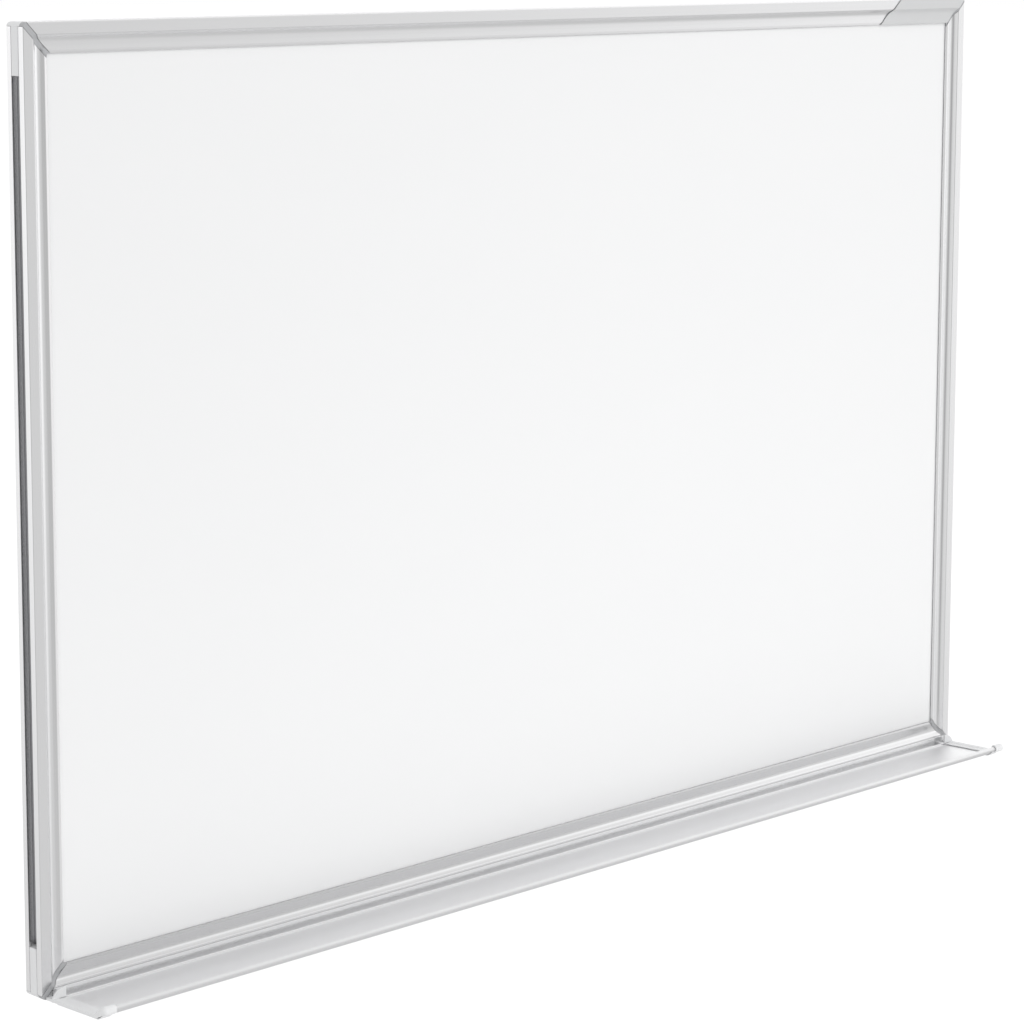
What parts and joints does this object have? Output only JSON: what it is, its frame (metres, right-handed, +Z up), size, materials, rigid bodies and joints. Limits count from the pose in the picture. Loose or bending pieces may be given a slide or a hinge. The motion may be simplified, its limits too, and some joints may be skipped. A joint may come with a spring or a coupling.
{
  "type": "magnetic whiteboard",
  "caption": "Wall-hung magnetic whiteboard: lacquered steel face in a mitred aluminium frame with plastic corners, rear hangers and a clip-on pen tray.",
  "frame": {"origin": "on the rear face of the bottom frame member, at mid-width and in the middle of its rear band, so the wall is the plane y = 0", "axes": "+X along the board's width to the right as seen from the front, +Y into the wall, +Z up; the writing face looks along -Y"},
  "size_m": [0.9, 0.0756, 0.6015],
  "materials": {
    "white_lacquer": "semi-gloss white lacquer on steel",
    "core_board": "raw fibreboard, hidden inside the panel",
    "anodised_aluminium": "satin, clear anodised",
    "light_grey_plastic": "fine moulded texture",
    "zinc_plated_steel": "bright zinc plating, rolled"
  },
  "bodies": {
    "board": {"writing_sheet": "white_lacquer", "core_board": "core_board", "rear_sheet": "zinc_plated_steel", "frame_top": "anodised_aluminium", "frame_bottom": "anodised_aluminium", "frame_left": "anodised_aluminium", "frame_right": "anodised_aluminium", "corner_top_left": "light_grey_plastic", "corner_top_right": "light_grey_plastic", "corner_bottom_left": "light_grey_plastic", "corner_bottom_right": "light_grey_plastic", "screw_top_left_across": "zinc_plated_steel", "screw_top_left_upright": "zinc_plated_steel", "screw_top_right_across": "zinc_plated_steel", "screw_top_right_upright": "zinc_plated_steel", "screw_bottom_left_across": "zinc_plated_steel", "screw_bottom_left_upright": "zinc_plated_steel", "screw_bottom_right_across": "zinc_plated_steel", "screw_bottom_right_upright": "zinc_plated_steel", "label_plate": "light_grey_plastic"},
    "tray": {"pen_tray": "anodised_aluminium", "tray_cap_left": "light_grey_plastic", "tray_cap_right": "light_grey_plastic"},
    "hanger_l": {"hanger_left": "zinc_plated_steel"},
    "hanger_r": {"hanger_right": "zinc_plated_steel"}
  },
  "joints": [
    {"name": "tray_slide", "type": "slide", "parent": "board", "child": "tray", "axis": [1, 0, 0], "range_m": [-0.004, 0.004]},
    {"name": "hanger_left_slide", "type": "slide", "parent": "board", "child": "hanger_l", "axis": [1, 0, 0], "range_m": [-0.116, 0.27]},
    {"name": "hanger_right_slide", "type": "slide", "parent": "board", "child": "hanger_r", "axis": [1, 0, 0], "range_m": [-0.27, 0.116]}
  ]
}
